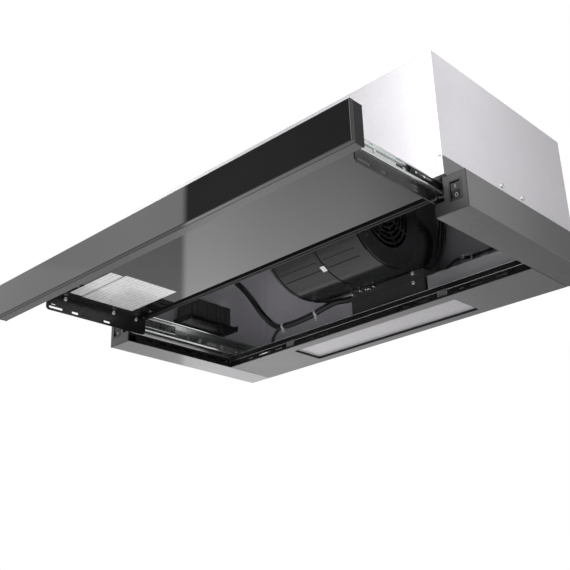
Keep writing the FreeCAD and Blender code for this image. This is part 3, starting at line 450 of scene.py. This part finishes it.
def add_head(bm, centre, outward, radius, height, slot_half):
    """Domed head on a seat, with a cross recess of that half width, or none for a rivet."""
    rings, around, recess_reach, foot = 16, 48, 0.62, 0.3
    axis = Vector(outward).normalized()
    across = axis.orthogonal().normalized()
    other = axis.cross(across)
    centre = Vector(centre)

    def level(r, a):
        h = height * math.sqrt(1.0 - (0.94 * r / radius) ** 2)
        x, y = abs(r * math.cos(a)), abs(r * math.sin(a))
        if slot_half and max(x, y) < recess_reach * radius and min(x, y) < slot_half:
            h -= 0.8 * height * (1.0 - max(x, y) / (recess_reach * radius) * 0.5)
        return h

    rows = []
    for k in range(1, rings + 1):
        r = radius * k / rings
        row = []
        for j in range(around):
            a = 2 * math.pi * j / around
            spot = centre + (across * math.cos(a) + other * math.sin(a)) * r
            row.append(vertex(bm, spot + axis * level(r, a)))
        rows.append(row)
    base = []
    for j in range(around):
        a = 2 * math.pi * j / around
        base.append(vertex(bm, centre + (across * math.cos(a) + other * math.sin(a)) * radius
                           - axis * foot))
    rows.append(base)
    skin(bm, rows)


SIDES = (-1, 1)
SLIDE_Z = 35.0
DUCT_Y = 140.0

VISOR_SCREW_X, VISOR_SCREW_YS = 258.5, (-104.0, -26.0, 13.0)
SLIDE_SCREW_X, SLIDE_SCREW_YS = 272.5, (40.0, 145.0, 224.0)
SIDE_RIVET_X, SIDE_RIVET_YS, SIDE_RIVET_Z = 276.91, (116.0, 161.0), 73.5
BOX_SCREW_X, BOX_SCREW_Y, BOX_SCREW_ZS = 87.5, 197.5, (35.4, 48.6)
COLLAR_SCREW_CIRCLE, COLLAR_SCREW_Z = 68.5, 201.4
DOME, CROSS_HALF = 0.9, 0.42


def screw_heads():
    """Recessed domes on the flat heads of the CAD screws and rivets."""
    bm = bmesh.new()
    for side in SIDES:
        for y in VISOR_SCREW_YS:
            add_head(bm, (side * VISOR_SCREW_X, y, SLIDE_Z), (-side, 0, 0), 3.0, DOME, CROSS_HALF)
    piece("visor_screw_domes", bm, "screw_zinc", "visor")

    bm = bmesh.new()
    for side in SIDES:
        for y in SLIDE_SCREW_YS:
            add_head(bm, (side * SLIDE_SCREW_X, y, SLIDE_Z), (-side, 0, 0), 3.2, DOME, CROSS_HALF)
        for y in SIDE_RIVET_YS:
            add_head(bm, (side * SIDE_RIVET_X, y, SIDE_RIVET_Z), (side, 0, 0), 2.8, 0.7, 0.0)
    for z in BOX_SCREW_ZS:
        add_head(bm, (BOX_SCREW_X, BOX_SCREW_Y, z), (0, -1, 0), 2.8, DOME, 0.4)
    for k in range(4):
        a = math.radians(45 + 90 * k)
        spot = (COLLAR_SCREW_CIRCLE * math.cos(a), DUCT_Y + COLLAR_SCREW_CIRCLE * math.sin(a),
                COLLAR_SCREW_Z)
        add_head(bm, spot, (0, 0, 1), 3.2, DOME, CROSS_HALF)
    piece("housing_screw_domes", bm, "screw_zinc", "housing")


CHANNEL_HALF_LENGTH, CHANNEL_FACE_Y = 256.5, 194.25
CHANNEL_EDGES = ((9.5, 0.32), (16.95, 0.3))


def channel_edges():
    """Bare bright edges along the rear channel: its fold line and its top."""
    bm = bmesh.new()
    for z, radius in CHANNEL_EDGES:
        add_bead(bm, (-CHANNEL_HALF_LENGTH, CHANNEL_FACE_Y, z),
                 (CHANNEL_HALF_LENGTH, CHANNEL_FACE_Y, z), radius)
    piece("rear_channel_edges", bm, "zinc_steel", "housing")


OUTER_EDGE_X, OUTER_EDGE_YS, OUTER_EDGE_ZS = 262.3, (5.0, 253.0), (23.9, 46.2)
INNER_EDGE_X, INNER_EDGE_YS, INNER_EDGE_ZS = 261.45, (31.5, 86.0), (28.9, 41.6)
INNER_END_X, INNER_END_Y, INNER_END_ZS = 261.5, 86.1, (28.9, 41.4)
EDGE_SLOPE = math.radians(40.0)


def slide_edges():
    """Rolled bright edges of the slides: the lips of the outer one and the web of the inner one."""
    outer, inner = bmesh.new(), bmesh.new()
    for side in SIDES:
        across = Vector((-side * math.sin(EDGE_SLOPE), 0.0, math.cos(EDGE_SLOPE)))
        for z in OUTER_EDGE_ZS:
            run = [Vector((side * OUTER_EDGE_X, y, z)) for y in OUTER_EDGE_YS]
            add_strap(outer, run, across, 1.8, 0.3, 0.0)
        for z in INNER_EDGE_ZS:
            run = [Vector((side * INNER_EDGE_X, y, z)) for y in INNER_EDGE_YS]
            add_strap(inner, run, across, 1.0, 0.3, 0.0)
        foot, head = (Vector((side * INNER_END_X, INNER_END_Y, z)) for z in INNER_END_ZS)
        add_bead(inner, foot, head, 0.6)
    piece("slide_outer_edges", outer, "screw_zinc", "housing", False)
    piece("slide_inner_edges", inner, "screw_zinc", "visor", False)


LEVER_X, LEVER_YS = 264.4, (-47.0, -30.0, -12.0, 6.0)
LEVER_RIVET_X, LEVER_RIVET_YS = 266.05, (-39.0, -25.0)


def release_levers():
    """Black plastic release lever inside each inner slide, held by two small rivets."""
    bm, rivets = bmesh.new(), bmesh.new()
    for side in SIDES:
        run = [Vector((side * LEVER_X, y, SLIDE_Z)) for y in LEVER_YS]
        add_strap(bm, run, Vector((0.0, 0.0, 1.0)), 9.0, 3.2, 0.0)
        for y in LEVER_RIVET_YS:
            add_head(rivets, (side * LEVER_RIVET_X, y, SLIDE_Z + 0.6), (side, 0, 0), 1.3, 0.5, 0.0)
    piece("slide_release_levers", bm, "switch_plastic", "visor")
    piece("slide_lever_rivets", rivets, "screw_zinc", "visor")


# where the first riser cable runs, and each cable's shift along X and radius
RISER_KNOTS = ((92.0, 222.0, 52.0), (92.0, 228.0, 58.0), (92.0, 239.0, 68.0), (92.0, 251.0, 82.0),
               (92.0, 260.0, 97.0), (92.0, 265.5, 112.0), (93.0, 267.0, 126.0),
               (97.0, 264.0, 140.0), (107.0, 258.0, 155.0), (125.0, 250.0, 170.0),
               (150.0, 242.0, 181.0), (176.0, 237.0, 188.0), (194.0, 236.0, 192.0))
RISERS = ((0.0, 2.9), (6.4, 2.3))


def riser_cables():
    """Two supply cables inside the box, from the control box up to the gland."""
    bm = bmesh.new()
    for shift, radius in RISERS:
        path = smooth_path([Vector((x + shift, y, z)) for x, y, z in RISER_KNOTS], 5)
        add_tube(bm, path, [radius] * len(path), sides=16)
    piece("riser_cables", bm, "cable_jacket", "housing")


SIDEWAYS = Vector((1.0, 0.0, 0.0))
# where each harness tie's tail starts, and how far its tip reaches from there
TAIL_RUNS = (((-147.0, 197.0, 30.5), (0.6, -2.4, -6.5)), ((-83.5, 197.0, 31.5), (1.6, -2.8, -6.0)))
TAIL_CURL = Vector((0.0, 0.0, 2.5))
LEAD_TIE = Vector((133.0, 275.45, 81.1))
LEAD_TAIL = ((0.0, -2.4, -1.5), (0.4, -4.0, -4.5), (1.4, -5.0, -8.0), (2.8, -5.6, -11.5),
             (4.6, -5.6, -14.5))


def tie_tails():
    """Cut-off ends of the cable ties, and one more tie on the switch lead."""
    bm = bmesh.new()
    for start, reach in TAIL_RUNS:
        first, away = Vector(start), Vector(reach)
        path = [first + away * t + TAIL_CURL * t * t for t in (-0.4, 0.0, 0.35, 0.7, 1.0)]
        add_strap(bm, path, SIDEWAYS, 2.6, 0.8)
    ring = circle(LEAD_TIE, Vector((1.0, 0.0, 0.1)), 2.75)
    add_tube(bm, ring, [0.7] * len(ring), closed=True, sides=8)
    add_strap(bm, [LEAD_TIE + Vector(p) for p in LEAD_TAIL], SIDEWAYS, 2.8, 0.9)
    piece("cable_tie_tails", bm, "tie_nylon", "housing")


def lead_clip():
    """Sprung steel clip wound round the switch lead, in three turns."""
    bm = bmesh.new()
    for k in range(3):
        turn = Vector((117.4 + 2.1 * k, 274.6, 83.9 - 0.45 * k))
        ring = circle(turn, Vector((1.0, 0.35, -0.23)), 3.7)
        add_tube(bm, ring, [0.75] * len(ring), closed=True, sides=8)
    piece("lead_clip", bm, "screw_zinc", "housing")


TERMINALS = ((-13.0, 47.2), (0.5, 49.0), (11.0, 48.2), (15.5, 47.8), (24.0, 48.6))
BOX_FACE_Y = 198.95


def terminal_tabs():
    """Crimped blade terminals along the control box's upper front edge."""
    bm = bmesh.new()
    for x, z in TERMINALS:
        barrel = [Vector((x, BOX_FACE_Y - d, z)) for d in (0.0, 1.2, 1.5, 3.4, 3.7, 5.2)]
        add_tube(bm, barrel, (1.5, 1.5, 1.15, 1.15, 1.6, 1.35), sides=14)
    piece("box_terminals", bm, "screw_zinc", "housing")


RECESS_CORNER = 3.5
# centres of the light recess's corners, anticlockwise from the rear right as seen from above
RECESS_CENTRES = ((136.5, 262.0), (-136.5, 262.0), (-136.5, 214.0), (136.5, 214.0))
# the dark lining's section, painted shade on the recess walls: distance outwards from the recess's
# wall, and height
SHADE_LINING_SECTION = ((0.4, 0.1), (0.4, 0.75), (-0.1, 0.75), (-0.1, 3.15), (-0.4, 3.15), (-0.4, 0.1))
CORNER_STEPS = 8


def recess_shade_lining():
    """Black lining on the recess walls in front of the diffuser: painted shade for the shadow in
    the recess.
    """
    bm = bmesh.new()
    rows = []
    for quarter, (x, y) in enumerate(RECESS_CENTRES):
        for k in range(CORNER_STEPS + 1):
            a = math.radians(90 * quarter + 90 * k / CORNER_STEPS)
            rows.append([vertex(bm, (x + (RECESS_CORNER + out) * math.cos(a),
                                     y + (RECESS_CORNER + out) * math.sin(a), z))
                         for out, z in SHADE_LINING_SECTION])
    skin(bm, rows, closed_path=True)
    # the black plastic of this lining is painted shade, not a real gasket
    piece("recess_shade_lining", bm, "end_cap_plastic", "housing", False)


BEAD_XS, BEAD_YS, BEAD_Z = (96.0, 184.0), (22.0, 52.0, 228.0, 258.0), 197.2


def stiffening_beads():
    """Pressed beads in the top panel, in front of the outlet and behind it, on either side."""
    bm = bmesh.new()
    for y in BEAD_YS:
        for side in SIDES:
            near, far = (Vector((side * x, y, BEAD_Z)) for x in BEAD_XS)
            add_bead(bm, near, far, 1.75)
    piece("top_panel_beads", bm, "galvanised", "housing")


# height, radius of the ring and radius of its section
COLLAR_BEADS = ((232.5, 59.3, 1.1), (237.0, 58.5, 0.95))


def duct_bead():
    """Rolled bead that the duct's clamp sits behind, and the rounded lip of the collar's mouth."""
    bm = bmesh.new()
    for z, radius, section in COLLAR_BEADS:
        ring = circle(Vector((0.0, DUCT_Y, z)), Vector((0.0, 0.0, 1.0)), radius, 96)
        add_tube(bm, ring, [section] * len(ring), closed=True, sides=12)
    piece("duct_collar_bead", bm, "grille_plastic", "housing")


FLAP_RIBS = (("flap_front", -1, (-38, -14, 14, 38)), ("flap_rear", 1, (-26, 0, 26)))
FLAP_TOP, FLAP_RIB_START, FLAP_RIB_CIRCLE = 214.5, 15, 53.0


def flap_ribs():
    """Ribs on each flap, from near its hinge out towards its round edge."""
    for body, way, xs in FLAP_RIBS:
        bm = bmesh.new()
        for x in xs:
            reach = math.sqrt(FLAP_RIB_CIRCLE ** 2 - x ** 2)
            add_bead(bm, (x, DUCT_Y + way * FLAP_RIB_START, FLAP_TOP),
                     (x, DUCT_Y + way * reach, FLAP_TOP), 1.0)
        piece(body + "_ribs", bm, "grille_plastic", body)


ROCKER_PIVOT = (285.5, 4.6, 23.15)
ROCKER_TILT = Matrix.Rotation(math.radians(7.0), 3, "X")
ON_BAR = (Vector((0.0, -4.02, 3.0)), Vector((0.0, -3.62, 6.6)))
OFF_RING, OFF_FACING, OFF_RADIUS = Vector((0.0, -3.84, -4.9)), Vector((0.0, -1.0, -0.115)), 1.7


def rocker_marks():
    """A plain bar and ring, for on and off, on each rocker."""
    x, y, z = ROCKER_PIVOT
    for side, body in zip(SIDES, ("rocker_left", "rocker_right")):
        centre = Vector((side * x, y, z))
        bm = bmesh.new()
        add_bead(bm, *(centre + ROCKER_TILT @ p for p in ON_BAR), 0.32)
        ring = [centre + ROCKER_TILT @ p for p in circle(OFF_RING, OFF_FACING, OFF_RADIUS, 28)]
        add_tube(bm, ring, [0.3] * len(ring), closed=True, sides=8)
        piece(body + "_marks", bm, "diffuser", body)


# --- studio -------------------------------------------------------------------------------
FLOOR_DROP = 1.3
FLOOR_RADIUS = 1.2
WORLD_BASE, WORLD_DARKEST = 0.55, 0.02
LIGHT_COLOUR = (1.0, 0.985, 1.0, 1.0)


def floor():
    """Pale disc far below the hood."""
    mesh = bpy.data.meshes.new("floor")
    bm = bmesh.new()
    bmesh.ops.create_circle(bm, cap_ends=True, segments=96, radius=FLOOR_RADIUS)
    bm.to_mesh(mesh)
    bm.free()
    disc = bpy.data.objects.new("floor", mesh)
    disc.location.z = -FLOOR_DROP
    bpy.context.scene.collection.objects.link(disc)
    s = Shader("floor_paper")
    s.base(s.colours(s.noise(3.0, 3.0), ((0.3, grey(0.80)), (0.7, grey(0.84)))))
    s.rough(s.span(s.noise(200.0, 2.0), 0.3, 0.7, 0.8, 0.9))
    mesh.materials.append(s.material)


def studio():
    """White cove with softboxes: brightness by direction, azimuth from +Y towards +X, in degrees.

    What the camera sees directly is plain white."""
    world = bpy.data.worlds.new("studio")
    bpy.context.scene.world = world
    world.use_nodes = True
    sky = NodeTree(world.node_tree)
    sky.tree.nodes.clear()

    split = sky.new("ShaderNodeSeparateXYZ")
    sky.link(sky.new("ShaderNodeTexCoord").outputs["Generated"], split.inputs["Vector"])
    azimuth = sky.math("DEGREES", sky.math("ARCTAN2", split.outputs["X"], split.outputs["Y"]))
    height = sky.math("DEGREES", sky.math("ARCSINE", split.outputs["Z"]))

    def window(value, low, high, low_edge, high_edge):
        """1 between low and high, 0 outside them, over edges of those half widths."""
        above = sky.span(value, low - low_edge, low + low_edge)
        past = sky.span(value, high - high_edge, high + high_edge)
        return sky.math("MULTIPLY", above, sky.math("SUBTRACT", 1.0, past))

    level = WORLD_BASE
    for turn, rise, edges, change in SOFTBOXES:
        inside = sky.math("MULTIPLY", window(azimuth, *turn, *edges[:2]),
                          window(height, *rise, *edges[2:]))
        level = sky.math("ADD", level, sky.math("MULTIPLY", inside, change))
    level = sky.math("MAXIMUM", level, WORLD_DARKEST)

    seen = sky.new("ShaderNodeBackground")
    seen.inputs["Color"].default_value = (1.0, 1.0, 1.0, 1.0)
    lighting = sky.new("ShaderNodeBackground")
    lighting.inputs["Color"].default_value = LIGHT_COLOUR
    sky.link(level, lighting.inputs["Strength"])
    mix = sky.new("ShaderNodeMixShader")
    sky.link(sky.new("ShaderNodeLightPath").outputs["Is Camera Ray"], mix.inputs["Fac"])
    sky.link(lighting.outputs["Background"], mix.inputs[1])
    sky.link(seen.outputs["Background"], mix.inputs[2])
    out = sky.new("ShaderNodeOutputWorld")
    sky.link(mix.outputs["Shader"], out.inputs["Surface"])


# (azimuth from, to), (height from, to), (half widths of the four edges), brightness change
SOFTBOXES = [
    ((-130.0, -90.0), (8.0, 55.0), (0.3, 10.0, 5.0, 10.0), 0.70),
    ((-130.0, -124.0), (8.0, 55.0), (0.3, 4.0, 5.0, 10.0), 0.45),
    ((-124.0, -90.0), (8.0, 23.0), (0.4, 10.0, 5.0, 0.4), 0.20),
    ((-147.0, -130.0), (8.0, 38.0), (2.0, 0.3, 5.0, 3.0), -0.46),
    ((-190.0, -150.0), (0.0, 80.0), (1.0, 3.0, 10.0, 10.0), 3.8),
    ((148.0, 190.0), (0.0, 80.0), (10.0, 1.0, 10.0, 10.0), 3.0),
    ((-50.0, -36.0), (-34.0, -6.0), (0.3, 12.0, 8.0, 4.0), 1.1),
    ((-64.0, -50.0), (-34.0, -6.0), (10.0, 0.3, 8.0, 4.0), 0.08),
    ((-46.5, -39.5), (-34.0, -6.0), (2.5, 2.5, 8.0, 4.0), -0.19),
    ((-36.0, 12.0), (-36.0, -5.0), (6.0, 14.0, 8.0, 4.0), -0.36),
    ((28.0, 34.5), (-5.0, 75.0), (3.5, 4.5, 10.0, 12.0), 0.60),
    ((34.5, 130.0), (-5.0, 75.0), (4.5, 20.0, 10.0, 12.0), 0.12),
    ((25.0, 60.0), (-50.0, -20.0), (5.0, 8.0, 6.0, 6.0), 1.25),
    ((-10.0, 27.0), (10.0, 50.0), (10.0, 3.0, 10.0, 12.0), -0.42),
]


LENS_MM, SENSOR_MM = 57.806, 36.0
CAMERA_AT = (0.72426, -0.86585, -0.61184)
# degrees: from +Y towards +X, up from the level, and about the line of sight
CAMERA_TURN, CAMERA_RISE, CAMERA_ROLL = -43.1796, 22.1559, -1.8643


def camera():
    """The view from below, in front and to the right."""
    data = bpy.data.cameras.new("camera")
    data.sensor_width = SENSOR_MM
    data.lens = LENS_MM
    data.clip_start = 0.01
    eye = bpy.data.objects.new("camera", data)
    eye.matrix_world = (Matrix.Translation(CAMERA_AT)
                        @ Matrix.Rotation(math.radians(-CAMERA_TURN), 4, "Z")
                        @ Matrix.Rotation(math.radians(90.0 + CAMERA_RISE), 4, "X")
                        @ Matrix.Rotation(math.radians(CAMERA_ROLL), 4, "Z"))
    bpy.context.scene.collection.objects.link(eye)
    bpy.context.scene.camera = eye


# --- everything ---------------------------------------------------------------------------
paint_cad_nodes()
screw_heads()
channel_edges()
slide_edges()
release_levers()
riser_cables()
tie_tails()
lead_clip()
terminal_tabs()
# dark lining of the light recess: painted shade
recess_shade_lining()
stiffening_beads()
duct_bead()
flap_ribs()
rocker_marks()
floor()
studio()
camera()
bpy.context.scene.view_settings.view_transform = "Standard"
